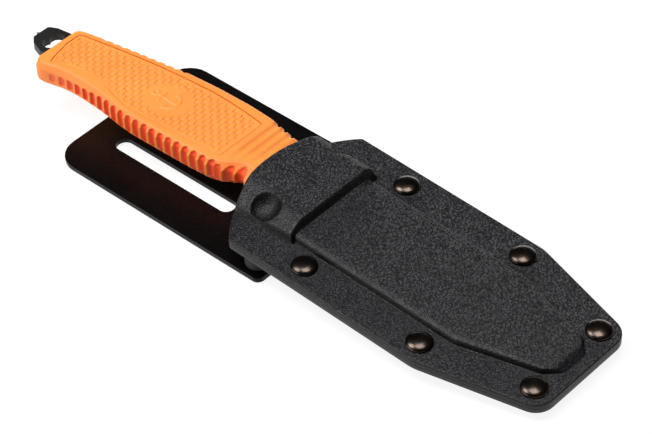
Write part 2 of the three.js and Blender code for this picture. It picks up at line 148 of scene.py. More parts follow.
def smooth(mesh, degrees=35):
    """Smooth shading, with a crease at every edge sharper than the angle."""
    mesh.shade_smooth()
    mesh.set_sharp_from_angle(angle=math.radians(degrees))
    mesh.update()


def as_modified(piece):
    """The piece's mesh after its modifiers."""
    bpy.context.view_layer.update()
    settled = piece.evaluated_get(bpy.context.evaluated_depsgraph_get())
    return bpy.data.meshes.new_from_object(settled)


def arris_broken(node, width, sharper_than=12):
    """A copy of a solid with its sharp edges bevelled, up to the width, and its flats shaded flat."""
    mesh = frame["nodes"][node].data.copy()
    shape = bmesh.new()
    shape.from_mesh(mesh)
    bmesh.ops.remove_doubles(shape, verts=shape.verts, dist=1e-7)
    bmesh.ops.dissolve_limit(shape, angle_limit=math.radians(1), verts=shape.verts, edges=shape.edges)
    paired = [e for e in shape.edges if len(e.link_faces) == 2]
    sharp = [e for e in paired if e.calc_face_angle(0) > math.radians(sharper_than)]
    bmesh.ops.bevel(shape, geom=sharp, offset=width, segments=ARRIS_SEGMENTS, profile=0.5, affect="EDGES",
                    clamp_overlap=True)
    shape.to_mesh(mesh)
    shape.free()
    smooth(mesh, 28)
    piece = bpy.data.objects.new("weighing", mesh)
    bpy.context.scene.collection.objects.link(piece)
    weigh = piece.modifiers.new("weigh", "WEIGHTED_NORMAL")
    weigh.keep_sharp = True
    weigh.weight = 100
    made = as_modified(piece)
    bpy.data.objects.remove(piece)
    return made


def sized_group(name, outputs):
    """A shader group with one input, the fineness of its pattern, and its outputs."""
    group = bpy.data.node_groups.new(name, "ShaderNodeTree")
    group.interface.new_socket(name="Size", in_out="INPUT", socket_type="NodeSocketFloat")
    for label in outputs:
        group.interface.new_socket(name=label, in_out="OUTPUT", socket_type="NodeSocketFloat")
    start = group.nodes.new("NodeGroupInput")
    end = group.nodes.new("NodeGroupOutput")
    return group, group.nodes, group.links, start, end


# Cloudy unevenness of a surface, in two sizes.
FINE_OVER_CLOUD = 22
mottle, nodes, links, start, end = sized_group("mottle", ["Cloud", "Fine"])
place = nodes.new("ShaderNodeTexCoord")
cloud = nodes.new("ShaderNodeTexNoise")
cloud.inputs["Detail"].default_value = 4
links.new(place.outputs["Object"], cloud.inputs["Vector"])
links.new(start.outputs["Size"], cloud.inputs["Scale"])
links.new(cloud.outputs["Fac"], end.inputs["Cloud"])
finer = nodes.new("ShaderNodeMath")
finer.operation = "MULTIPLY"
finer.inputs[1].default_value = FINE_OVER_CLOUD
links.new(start.outputs["Size"], finer.inputs[0])
fine = nodes.new("ShaderNodeTexNoise")
fine.inputs["Detail"].default_value = 2
links.new(place.outputs["Object"], fine.inputs["Vector"])
links.new(finer.outputs[0], fine.inputs["Scale"])
links.new(fine.outputs["Fac"], end.inputs["Fine"])


def group_in(nodes, group, size):
    """One of the shader groups, placed in a material with its own fineness."""
    used = nodes.new("ShaderNodeGroup")
    used.node_tree = group
    used.inputs["Size"].default_value = size
    return used


def two_tone(nodes, links, mask, dark, light):
    """Colour that goes from the dark tone to the light one over the middle of a mask."""
    ramp = nodes.new("ShaderNodeValToRGB")
    ramp.color_ramp.elements[0].position = 0.3
    ramp.color_ramp.elements[0].color = (*dark, 1)
    ramp.color_ramp.elements[1].position = 0.7
    ramp.color_ramp.elements[1].color = (*light, 1)
    links.new(mask, ramp.inputs["Fac"])
    return ramp.outputs["Color"]


def spread(nodes, links, mask, low, high):
    """A mask rescaled to run from the low value to the high one."""
    reach = nodes.new("ShaderNodeMapRange")
    reach.inputs["To Min"].default_value = low
    reach.inputs["To Max"].default_value = high
    links.new(mask, reach.inputs["Value"])
    return reach.outputs["Result"]


def bumped(nodes, links, height, shader, strength, distance):
    """Fine relief on a shader, as deep as the distance in metres."""
    bump = nodes.new("ShaderNodeBump")
    bump.inputs["Strength"].default_value = strength
    bump.inputs["Distance"].default_value = distance
    links.new(height, bump.inputs["Height"])
    links.new(bump.outputs["Normal"], shader.inputs["Normal"])


coated_steel, nodes, links, shader = plain_material("coated_steel", (0.03, 0.03, 0.032), 0.4, 0.6)
grain = group_in(nodes, mottle, 90)
links.new(two_tone(nodes, links, grain.outputs["Cloud"], (0.014, 0.013, 0.013), (0.032, 0.031, 0.031)),
          shader.inputs["Base Color"])
links.new(spread(nodes, links, grain.outputs["Fine"], 0.3, 0.55), shader.inputs["Roughness"])
bumped(nodes, links, grain.outputs["Fine"], shader, 0.25, 0.00004)
link("blade_and_tang", arris_broken("blade", BLADE_ARRIS), "knife", coated_steel, ["blade"])


# The glass breaker is a ground carbide pin pressed into the end of the tang.
PIN_AT = (-142.4, -2, 0)
PIN_PROFILE = [(0, 0), (0.9, 0), (0.95, 0.1), (0.95, 3.2), (0.9, 3.4), (0.18, 4.6), (0.08, 4.68), (0, 4.69)]


def from_rings(name, rings, first_height, last_height):
    """A closed solid about Z. Each ring is its radii and its height, and both ends close on the axis."""
    sides = len(rings[0][0])
    angles = [2 * math.pi * k / sides for k in range(sides)]
    points = [(0, 0, first_height)]
    for radii, height in rings:
        points += [(r * math.cos(a), r * math.sin(a), height) for r, a in zip(radii, angles)]
    points.append((0, 0, last_height))
    faces = []
    for k in range(sides):
        n = (k + 1) % sides
        faces.append((0, 1 + n, 1 + k))
        for r in range(len(rings) - 1):
            a, b = 1 + r * sides, 1 + (r + 1) * sides
            faces.append((a + k, a + n, b + n, b + k))
        last = 1 + (len(rings) - 1) * sides
        faces.append((last + k, last + n, len(points) - 1))
    mesh = bpy.data.meshes.new(name)
    mesh.from_pydata(points, [], faces)
    return mesh


def turned(profile, sides):
    """A turned solid, in millimetres, from (radius, height) pairs that start and end on the axis."""
    rings = [([radius] * sides, height) for radius, height in profile if radius > 0]
    return from_rings("turned", rings, profile[0][1], profile[-1][1])


carbide, nodes, links, shader = plain_material("ground_carbide", (0.45, 0.46, 0.48), 0.3, 1.0)
grain = group_in(nodes, mottle, 400)
links.new(two_tone(nodes, links, grain.outputs["Fine"], (0.36, 0.37, 0.39), (0.6, 0.61, 0.63)),
          shader.inputs["Base Color"])
links.new(spread(nodes, links, grain.outputs["Cloud"], 0.22, 0.42), shader.inputs["Roughness"])
pin = turned(PIN_PROFILE, 32)
pin.transform(on_axis @ Matrix.Translation(PIN_AT) @ Matrix.Rotation(math.radians(-90), 4, "Y"))
smooth(pin)
link("glass_breaker", pin, "knife", carbide, ["breaker_tip"])

# ---------------------------------------------------------------- handle core
# Two black glass-filled halves closed round the tang. The grip is moulded over them and covers them,
# so the plain solids stand for them as they are.
core_black, nodes, links, shader = plain_material("core_black", (0.02, 0.02, 0.02), 0.55)
grain = group_in(nodes, mottle, 150)
links.new(two_tone(nodes, links, grain.outputs["Cloud"], (0.013, 0.013, 0.013), (0.03, 0.03, 0.03)),
          shader.inputs["Base Color"])
links.new(spread(nodes, links, grain.outputs["Fine"], 0.45, 0.7), shader.inputs["Roughness"])
for half in ("core_front_half", "core_back_half"):
    frame["nodes"][half].data.materials.clear()
    frame["nodes"][half].data.materials.append(core_black)

# ---------------------------------------------------------------- grip
# Soft orange rubber moulded over the core. Its belly edge has a row of round-ended flutes that grow
# larger round the front corner, and its spine has finer ones near the butt. A few waves cross its
# faces near the sheath.
GRIP_HALF = 4.6
BUTT_EASED_FROM = -131
SHEATH_EASED_TO = -16
# x, belly, spine, half thickness, bevel at the belly, half height of the belly wall
GRIP_SECTIONS = np.array([
    (-134.0, -12.4, 4.6, 3.4, 1.0, 1.9),
    (-133.8, -13.3, 5.3, 3.9, 1.2, 2.1),
    (-133.4, -14.2, 6.0, 4.3, 1.3, 2.3),
    (-132.8, -15.0, 6.5, 4.5, 1.4, 2.4),
    (-132.0, -15.5, 7.0, 4.55, 1.5, 2.5),
    (-131.0, -15.8, 7.3, 4.6, 1.5, 2.5),
    (-129.6, -15.8, 7.7, 4.6, 1.5, 2.5),
    (-126.5, -14.9, 8.4, 4.6, 1.5, 2.5),
    (-122.6, -13.8, 9.3, 4.6, 1.5, 2.5),
    (-118.0, -13.2, 10.2, 4.6, 1.5, 2.5),
    (-113.4, -13.0, 11.2, 4.6, 1.5, 2.5),
    (-104.2, -13.1, 12.9, 4.6, 1.5, 2.5),
    (-95.0, -14.0, 14.6, 4.6, 1.5, 2.5),
    (-88.6, -14.3, 15.8, 4.6, 1.5, 2.5),
    (-76.6, -13.7, 17.1, 4.6, 1.5, 2.5),
    (-62.8, -12.9, 17.9, 4.6, 1.5, 2.5),
    (-53.6, -12.0, 17.8, 4.6, 1.7, 2.5),
    (-49.0, -11.0, 17.3, 4.5, 3.2, 2.2),
    (-46.0, -9.2, 16.9, 4.4, 4.2, 1.9),
    (-43.0, -8.0, 16.4, 4.4, 4.4, 1.7),
    (-38.0, -9.4, 15.6, 4.5, 5.0, 1.4),
    (-33.0, -12.0, 15.0, 4.7, 6.0, 1.2),
    (-15.0, -12.4, 14.8, 4.7, 6.0, 1.2),
    (-14.6, -12.0, 14.4, 4.4, 5.8, 1.2),
])


def corner_arc(before, here, after, radius, steps):
    """Points on an arc that rounds off one corner of a section."""
    a, b = (before - here).normalized(), (after - here).normalized()
    half = a.angle(b) / 2
    reach = min(radius / math.tan(half), (before - here).length * 0.48, (after - here).length * 0.48)
    radius = reach * math.tan(half)
    centre = here + (a + b).normalized() * (radius / math.sin(half))
    first = here + a * reach - centre
    last = here + b * reach - centre
    sweep = math.atan2(first.x * last.y - first.y * last.x, first.dot(last))
    return [centre + Matrix.Rotation(sweep * k / steps, 2) @ first for k in range(steps + 1)]


SPINE_BEVEL = 1.4
SPINE_WALL = 2.2
EDGE_RADIUS = 1.2
BEVEL_RADIUS = 1.6


def section_line(low, high, half, bevel, wall):
    """A closed section (y, z) with eight rounded corners, always with the same number of points."""
    top = [Vector((low, wall)), Vector((low + bevel, half))]
    top += [Vector((high - SPINE_BEVEL, half)), Vector((high, max(wall, SPINE_WALL)))]
    corners = [Vector((p.x, -p.y)) for p in top] + top[::-1]
    radii = [EDGE_RADIUS, BEVEL_RADIUS, BEVEL_RADIUS, EDGE_RADIUS] * 2
    between = [5, 26, 5, 12, 5, 26, 5, 16]
    line = []
    arcs = [corner_arc(corners[i - 1], corners[i], corners[(i + 1) % 8], radii[i], 4) for i in range(8)]
    for i in range(8):
        line += arcs[i]
        start, stop = arcs[i][-1], arcs[(i + 1) % 8][0]
        line += [start.lerp(stop, (k + 1) / (between[i] + 1)) for k in range(between[i])]
    return np.array(line)


BUTT_X = [-134, -133.9, -133.8, -133.6, -133.4, -133.1, -132.8]
SHEATH_END_X = [-15.0, -14.8, -14.6]
grip_x = np.concatenate([BUTT_X, np.arange(-132.5, -15.1, 0.3), SHEATH_END_X])
sized = [np.interp(grip_x, GRIP_SECTIONS[:, 0], GRIP_SECTIONS[:, k]) for k in range(1, 6)]


def eased(values, width):
    """The values with their kinks averaged out, and both ends kept."""
    kernel = np.hanning(width + 2)[1:-1]
    kernel /= kernel.sum()
    padded = np.concatenate([np.full(width, values[0]), values, np.full(width, values[-1])])
    soft = np.convolve(padded, kernel, "same")[width:-width]
    soften = np.clip((grip_x - BUTT_EASED_FROM) / 8, 0, 1) * np.clip((SHEATH_EASED_TO - grip_x) / 4, 0, 1)
    return values * (1 - soften) + soft * soften


sized = [eased(v, 17) for v in sized]
belly, spine, _, belly_bevel, _ = sized
rings = np.array([section_line(*[v[i] for v in sized]) for i in range(len(grip_x))])
count = rings.shape[1]

# Each flute is a round-ended groove across the edge: its place, its radius, half its straight length
# and its depth. The belly's are placed along the edge, and the spine's along X.
FLUTE_PITCH = 3.6
FLUTE_RADIUS = 1.3
CORNER_PITCH = 4.2
CORNER_FLUTE = (1.8, 1.8, 1.25)
FIRST_CORNER_FLUTE_X = -51.2
SPINE_PITCH = 3.5
SPINE_FLUTE = (1.2, 3.9, 0.5)
SPINE_NOTCH = (1.4, 3.9, 0.8)
SPINE_NOTCH_X = (-49.4, -46.0, -42.6)
WAVE_HEIGHT = 0.75
WAVE_LENGTH = 3.4
WAVES_FROM = -51.1
WAVES_TO = -37.5
along_belly = np.concatenate([[0], np.cumsum(np.hypot(np.diff(grip_x), np.diff(belly)))])


def flute(distance, across, radius, reach, depth):
    """Depth of a round-ended groove at a distance along the edge and a height across it."""
    beyond = np.maximum(np.abs(across) - reach, 0)
    away = np.hypot(distance, beyond) / radius
    return depth * np.clip(1 - away**2, 0, 1) ** 0.5


belly_flutes = []
for x in np.arange(-125.5, -53, FLUTE_PITCH):
    place = np.interp(x, grip_x, along_belly)
    reach = np.interp(x, [-126, -112, -100, -64], [0.6, 1.3, 2.4, 3.1])
    depth = np.interp(x, [-126, -114], [0.5, 1.15])
    belly_flutes.append((place, FLUTE_RADIUS, reach, depth))
corner_start = np.interp(FIRST_CORNER_FLUTE_X, grip_x, along_belly)
belly_flutes += [(corner_start + CORNER_PITCH * k, *CORNER_FLUTE) for k in range(3)]
spine_flutes = [(x, *SPINE_FLUTE) for x in np.arange(-122.5, -90, SPINE_PITCH)]
spine_flutes += [(x, *SPINE_NOTCH) for x in SPINE_NOTCH_X]

points = np.zeros((len(grip_x), count, 3))
groove = np.zeros((len(grip_x), count))
for i, x in enumerate(grip_x):
    y, z = rings[i, :, 0], rings[i, :, 1]
    to_belly = np.clip((belly[i] + belly_bevel[i] + 0.9 - y) / 1.2, 0, 1)
    to_spine = np.clip((y - (spine[i] - 3.0)) / 1.2, 0, 1)
    cut_low = np.zeros(count)
    for c, radius, reach, depth in belly_flutes:
        if abs(along_belly[i] - c) < radius:
            cut_low = np.maximum(cut_low, flute(along_belly[i] - c, z, radius, reach, depth))
    cut_high = np.zeros(count)
    for c, radius, reach, depth in spine_flutes:
        if abs(x - c) < radius:
            cut_high = np.maximum(cut_high, flute(x - c, z, radius, reach, depth))
    swell = 0.5 - 0.5 * math.cos(2 * math.pi * (x - WAVES_FROM) / WAVE_LENGTH)
    wave = WAVE_HEIGHT * swell * float(WAVES_FROM < x < WAVES_TO)
    wave_fade = np.clip((y - belly[i] - 5) / 7, 0, 1)
    # Painted shade: the groove mask turns the belly wall partly, and the flutes fully, to a deeper red that
    # stands in for the shade and red bounce light in them.
    groove[i] = np.clip(0.3 * to_belly + cut_low * to_belly / 1.1, 0, 1)
    points[i, :, 0] = x
    points[i, :, 1] = y + cut_low * to_belly - cut_high * to_spine
    points[i, :, 2] = z - np.sign(z) * wave * wave_fade * np.clip((np.abs(z) - 3.5), 0, 1)

quads = []
for i in range(len(grip_x) - 1):
    for k in range(count):
        n = (k + 1) % count
        quads.append((i * count + k, i * count + n, (i + 1) * count + n, (i + 1) * count + k))
quads.append(tuple(range(count))[::-1])
quads.append(tuple(range((len(grip_x) - 1) * count, len(grip_x) * count)))
grip_mesh = bpy.data.meshes.new("grip")
grip_mesh.from_pydata(points.reshape(-1, 3).tolist(), [], quads)


# The textured panels sit in recesses on both sides, with a hairline gap round each.
PANEL_DIP = [(-127.6, -12.4), (-121.5, -9.4), (-113, -8.2), (-105.5, -8.4), (-99.4, -9.9), (-93.6, -11)]
PANEL_FRONT = [(-53.6, -7.5), (-53, -6.9), (-53, 12)]
PANEL_HIGH = [(-53.6, 12.6), (-67.2, 13.2), (-81, 12.6), (-104, 9.5), (-130, 4.2)]
PANEL_BUTT = [(-130.9, 3.4), (-130.9, -2), (-129.4, -9), (-128.4, -12)]
PANEL_GAP = 0.18
RECESS_FLOOR = 3.35
RECESS_TOP = 8


def through_points(points, per_span=10):
    """A smooth line through a few points."""
    p = np.array([points[0], *points, points[-1]], float)
    out = []
    for i in range(1, len(p) - 2):
        for t in np.linspace(0, 1, per_span, endpoint=False):
            out.append(0.5 * (2 * p[i] + (p[i + 1] - p[i - 1]) * t
                              + (2 * p[i - 1] - 5 * p[i] + 4 * p[i + 1] - p[i + 2]) * t**2
                              + (3 * p[i] - p[i - 1] - 3 * p[i + 1] + p[i + 2]) * t**3))
    out.append(p[-2])
    return np.array(out)


def resampled(line, step):
    """The same closed line with points at an even step."""
    closed = np.vstack([line, line[:1]])
    along = np.concatenate([[0], np.cumsum(np.hypot(*np.diff(closed, axis=0).T))])
    at = np.linspace(0, along[-1], int(along[-1] / step), endpoint=False)
    return np.stack([np.interp(at, along, closed[:, k]) for k in (0, 1)], 1)


def moved_in(line, distance):
    """A counter-clockwise line moved towards its inside."""
    ahead, behind = np.roll(line, -1, 0), np.roll(line, 1, 0)
    run = ahead - behind
    run /= np.hypot(run[:, 0], run[:, 1])[:, None] + 1e-12
    return line + distance * np.stack([-run[:, 1], run[:, 0]], 1)


def prism(line, low, high):
    """An upright solid on a closed line."""
    n = len(line)
    points = [(x, y, z) for z in (low, high) for x, y in line]
    faces = [tuple(range(n))[::-1], tuple(range(n, 2 * n))]
    faces += [(k, (k + 1) % n, n + (k + 1) % n, n + k) for k in range(n)]
    mesh = bpy.data.meshes.new("recess")
    mesh.from_pydata(points, [], faces)
    return mesh


def cut(mesh, *tools):
    """The mesh with the tools' shapes taken away."""
    piece = bpy.data.objects.new("cutting", mesh)
    bpy.context.scene.collection.objects.link(piece)
    cutters = []
    for tool in tools:
        cutter = bpy.data.objects.new("cutter", tool)
        bpy.context.scene.collection.objects.link(cutter)
        cutters.append(cutter)
        modifier = piece.modifiers.new("cut", "BOOLEAN")
        modifier.operation = "DIFFERENCE"
        modifier.solver = "EXACT"
        modifier.object = cutter
    made = as_modified(piece)
    for spare in (piece, *cutters):
        bpy.data.objects.remove(spare)
    return made


def put_mask(mesh, name, values):
    """Keep a mask on the mesh, one value to each point."""
    layer = mesh.attributes.new(name, "FLOAT", "POINT")
    layer.data.foreach_set("value", values.astype(np.float32))


def paint_mask(nodes, links, name, color, other):
    """Colour that turns to another one where the mesh's own mask says."""
    mask = nodes.new("ShaderNodeAttribute")
    mask.attribute_name = name
    blend = nodes.new("ShaderNodeMix")
    blend.data_type = "RGBA"
    links.new(mask.outputs["Fac"], blend.inputs["Factor"])
    links.new(color, blend.inputs["A"])
    blend.inputs["B"].default_value = (*other, 1)
    return blend.outputs["Result"]


put_mask(grip_mesh, "groove", groove.ravel())
panel_line = np.vstack([through_points(PANEL_DIP), PANEL_FRONT, through_points(PANEL_HIGH), PANEL_BUTT])
recess_line = moved_in(resampled(panel_line, 0.8), -PANEL_GAP)
near_recess = prism(recess_line, RECESS_FLOOR, RECESS_TOP)
far_recess = prism(recess_line, -RECESS_TOP, -RECESS_FLOOR)
grip_mesh = cut(grip_mesh, near_recess, far_recess)
grip_mesh.transform(on_axis)
smooth(grip_mesh, 32)

grip_rubber, nodes, links, shader = plain_material("grip_rubber", (0.93, 0.2, 0.028), 0.5)
grain = group_in(nodes, mottle, 70)
color = two_tone(nodes, links, grain.outputs["Cloud"], (0.93, 0.27, 0.036), (0.97, 0.31, 0.046))
# Painted shade: deeper red in the flutes and along the belly wall.
color = paint_mask(nodes, links, "groove", color, (1.0, 0.085, 0.006))
links.new(color, shader.inputs["Base Color"])
links.new(spread(nodes, links, grain.outputs["Fine"], 0.42, 0.62), shader.inputs["Roughness"])
bumped(nodes, links, grain.outputs["Fine"], shader, 0.3, 0.00005)
shader.inputs["Sheen Weight"].default_value = 0.04
link("grip", grip_mesh, "knife", grip_rubber, ["grip_overmould"])


# ---------------------------------------------------------------- grip panels
# Harder orange inserts, moulded with rows of fish scales whose free edges face the blade, round a
# smooth oval boss with a plain anchor in low relief.
SCALE_PITCH = 3.6
SCALE_ROW = 1.85
SCALE_RADIUS = 1.95
SCALE_RISE = 0.3
SCALE_SINK = 0.2
BORDER_SINK = 0.06
PANEL_SINK = 0.02
PANEL_LIMIT = 0.15
BOSS_CENTRE = (-84.5, 0.5)
BOSS_HALF = (9.6, 7.6)
STROKE = 0.55
STROKE_RISE = 0.3
BOSS_LEVEL = -0.16
PANEL_ROUND = 0.3
PANEL_SKIRT = 1.1


def inside(points, line):
    """Signed distance of each point to a closed line, positive inside."""
    a, b = line, np.roll(line, -1, 0)
    best = np.full(len(points), 1e9)
    crossings = np.zeros(len(points), int)
    for p, q in zip(a, b):
        d = q - p
        t = np.clip(((points - p) @ d) / (d @ d), 0, 1)
        best = np.minimum(best, np.hypot(*(points - p - t[:, None] * d).T))
        over = (p[1] > points[:, 1]) != (q[1] > points[:, 1])
        if abs(d[1]) > 1e-12:
            crossings += over & (points[:, 0] < p[0] + (points[:, 1] - p[1]) * d[0] / d[1])
    return np.where(crossings % 2 == 1, best, -best)


def filled(line, rings, step, extra=None, keep=None):
    """Triangles over a closed line: its own points first, then rings inside it, then a grid. Extra
    points take the grid's place wherever keep says no."""
    sets = [line] + [moved_in(line, e) for e in rings]
    gap = rings[-1] + step * 0.7
    low, high = line.min(0), line.max(0)
    xs, ys = np.arange(low[0], high[0], step), np.arange(low[1], high[1], step)
    grid = np.stack(np.meshgrid(xs, ys), -1).reshape(-1, 2)
    grid[:, 0] += np.where((np.round((grid[:, 1] - low[1]) / step) % 2) == 0, 0, step / 2)
    depth = inside(grid, line)
    grid = grid[depth > gap]
    if extra is not None:
        grid = np.vstack([grid[keep(grid)], extra[inside(extra, line) > gap]])
    cloud = np.vstack([*sets, grid])
    n = len(line)
    verts, _, faces, origins, _, _ = delaunay_2d_cdt(
        [Vector(p) for p in cloud], [], [list(range(n))], 1, 1e-7)
    assert all(o and o[0] == i for i, o in enumerate(origins[:n]))
    flat = np.array([tuple(v) for v in verts])
    turned_up = []
    for f in faces:
        a, b, c = (flat[i] for i in f[:3])
        area = (b[0] - a[0]) * (c[1] - a[1]) - (b[1] - a[1]) * (c[0] - a[0])
        turned_up.append(tuple(f) if area > 0 else tuple(f)[::-1])
    return flat, turned_up


def scales(x, y):
    """Height of overlapping round scales, each rising to its free edge."""
    row = np.round(x / SCALE_ROW)
    height = np.full(x.shape, -1.0)
    for shift in (-2, -1, 0, 1, 2):
        r = row + shift
        centre_x = r * SCALE_ROW
        offset = np.where(r % 2 == 0, 0, SCALE_PITCH / 2)
        centre_y = np.round((y - offset) / SCALE_PITCH) * SCALE_PITCH + offset
        dx, dy = x - centre_x, y - centre_y
        reach = np.hypot(dx, dy)
        rise = dx / 1.9 - 0.35 * (dy / 1.9) ** 2
        height = np.where(reach < SCALE_RADIUS, np.maximum(height, rise), height)
    return height


def anchor(x, y):
    """Distance to the strokes of an anchor that stands along X, with its ring at the butt end."""
    shank = np.hypot(np.clip(np.abs(x + 0.4) - 4.4, 0, None), y)
    stock = np.hypot(x + 3.0, np.clip(np.abs(y) - 2.0, 0, None))
    ring = np.abs(np.hypot(x + 6.0, y) - 1.0)
    bend = np.where(x > 1.2, np.abs(np.hypot(x - 0.6, y) - 3.6), 9.0)
    fluke = np.hypot(x - 0.9, np.abs(y) - 3.6) - 0.45
    return np.minimum.reduce([shank, stock, ring, bend, fluke])


def fallen_edge(depth, radius):
    """How far a rounded edge lies below the face, at a depth inside the outline."""
    short = radius - np.clip(depth, 0, radius)
    return radius - np.sqrt(np.clip(radius**2 - short**2, 0, 1))


edge = resampled(panel_line, 0.45)
flat, faces = filled(edge, [0.12, 0.3, 0.55], 0.27)
depth = inside(flat, edge)
x, y = flat[:, 0], flat[:, 1]
relief = SCALE_RISE * scales(x, y) - SCALE_SINK
texture_edge = np.clip((depth - 0.9) / 0.5, 0, 1)
boss_x, boss_y = x - BOSS_CENTRE[0], y - BOSS_CENTRE[1]
boss = np.clip((1 - np.hypot(boss_x / BOSS_HALF[0], boss_y / BOSS_HALF[1])) * 6, 0, 1)
strokes = np.clip((STROKE - anchor(boss_x, boss_y)) / STROKE_RISE, 0, 1)
medallion = BOSS_LEVEL + STROKE_RISE * strokes
relief = relief * (1 - boss) + medallion * boss
height = GRIP_HALF - PANEL_SINK + relief * texture_edge - BORDER_SINK * (1 - texture_edge)
height -= fallen_edge(depth, PANEL_ROUND)
height = np.minimum(height, GRIP_HALF + PANEL_LIMIT)
# Painted shade: the low parts of the scale relief are marked for a darker red, standing in for the shade in
# the hollows between the scales.
valley_shade = np.clip((-0.12 - relief) / 0.3, 0, 1) * texture_edge * (1 - boss)
top = np.column_stack([x, y, height])
rim = len(edge)
skirt = np.column_stack([edge, np.full(rim, GRIP_HALF - PANEL_SKIRT)])
panel_points = np.vstack([top, skirt])
n = len(top)
panel_faces = list(faces) + [(k, n + k, n + (k + 1) % rim, (k + 1) % rim) for k in range(rim)]
panel_faces.append(tuple(range(n, n + rim))[::-1])

panel_rubber, nodes, links, shader = plain_material("panel_rubber", (0.93, 0.22, 0.035), 0.52)
grain = group_in(nodes, mottle, 80)
color = two_tone(nodes, links, grain.outputs["Cloud"], (0.93, 0.28, 0.038), (0.97, 0.32, 0.048))
# Painted shade: darker red in the hollows between the scales.
color = paint_mask(nodes, links, "valley_shade", color, (0.82, 0.16, 0.016))
links.new(color, shader.inputs["Base Color"])
links.new(spread(nodes, links, grain.outputs["Fine"], 0.45, 0.62), shader.inputs["Roughness"])
bumped(nodes, links, grain.outputs["Fine"], shader, 0.25, 0.00004)
shader.inputs["Sheen Weight"].default_value = 0.04


def both_ways(name, points, faces, side):
    """A mesh as it is, or turned over to the back of the knife and sheath."""
    placed = np.array(points) * (1, 1, side)
    mesh = bpy.data.meshes.new(name)
    mesh.from_pydata(placed.tolist(), [], faces if side > 0 else [f[::-1] for f in faces])
    mesh.transform(on_axis)
    return mesh


for word, side in (("front", 1), ("back", -1)):
    mesh = both_ways("panel", panel_points, panel_faces, side)
    put_mask(mesh, "valley_shade", np.concatenate([valley_shade, np.zeros(rim)]))
    smooth(mesh, 60)
    link(f"{word}_scaled_panel", mesh, "knife", panel_rubber, [f"{word}_grip_panel"])


# ---------------------------------------------------------------- sheath shells
# Two sheets of pebble-grained thermoplastic, pressed hot over the knife. The forming leaves a deep
# pocket for the handle, a shallow one for the blade, soft corners everywhere, and a thumb-sized
# dent in each side of the pocket. The outline is sawn and the sawn edge is buffed.
SHEET = 1.85
SEAM = 0.06
MOUTH_X = -38.8
MOUTH_RADIUS = 44.2
MOUTH_SWEEP = 43.5
POCKET_TOP = 7.0
POCKET_END = -9.2
POCKET_LOW = -19.8
POCKET_HIGH = 20.7
BULGE_TOP = 4.15
BULGE_TIP = 88.6
POCKET_HIGH_RIM = 17.4
LOW_WALL_SLOPE = 3.4
HIGH_WALL_SLOPE = 3.2
END_WALL_SLOPE = 2.3
BULGE_WALL_SLOPE = 4.5
TIP_SLOPE = 0.13
RIDGE_WIDTH = 1.7
RIDGE_FALL = 0.42
FAR_RIM_FALL = 0.5
SHELL_ROUND = 0.4
# A dent is pressed by a ball: its centre along X, Y and Z, and its radius.
NEAR_DENT = (-25.1, -16.3, 8.3, 6.2)
FAR_DENT = (-24.6, 22.4, 6.6, 5.2)
# Corners of the outlines: X, Y and the radius that rounds each off.
SHELL_CORNERS = [(-25.8, -31.3, 2.5), (51, -31.3, 16), (92.6, -20.5, 7), (92.6, 20.5, 7), (51, 31.3, 14),
                 (-25.8, 31.3, 2.5)]
BLADE_BULGE = [(-20, -18.1, 0), (56.1, -18.1, 9), (83.7, -9.7, 4), (88.6, -4.9, 4),
               (88.6, 4.9, 4), (83.7, 9.7, 4), (56.1, 18.1, 9), (-20, 18.1, 0)]


def rounded(corners, steps=12):
    """A closed line from (x, y, radius) corners, with an arc at each one that has a radius."""
    out = []
    for i, (x, y, radius) in enumerate(corners):
        here = Vector((x, y))
        before, after = Vector(corners[i - 1][:2]), Vector(corners[(i + 1) % len(corners)][:2])
        if radius:
            out += [tuple(p) for p in corner_arc(before, here, after, radius, steps)]
        else:
            out.append((x, y))
    return np.array(out)


mouth = [(MOUTH_X + MOUTH_RADIUS - MOUTH_RADIUS * math.cos(a), MOUTH_RADIUS * math.sin(a), 0)
         for a in np.linspace(math.radians(MOUTH_SWEEP), math.radians(-MOUTH_SWEEP), 40)]
shell_line = resampled(rounded(SHELL_CORNERS + mouth), 0.6)
bulge_line = resampled(rounded(BLADE_BULGE), 0.55)


def smaller(a, b, blend):
    """The lower of two heights, with a soft corner between them."""
    h = np.clip(0.5 + 0.5 * (b - a) / blend, 0, 1)
    return b * (1 - h) + a * h - blend * h * (1 - h)


def larger(a, b, blend):
    """The higher of two heights, with a soft corner between them."""
    return -smaller(-a, -b, blend)


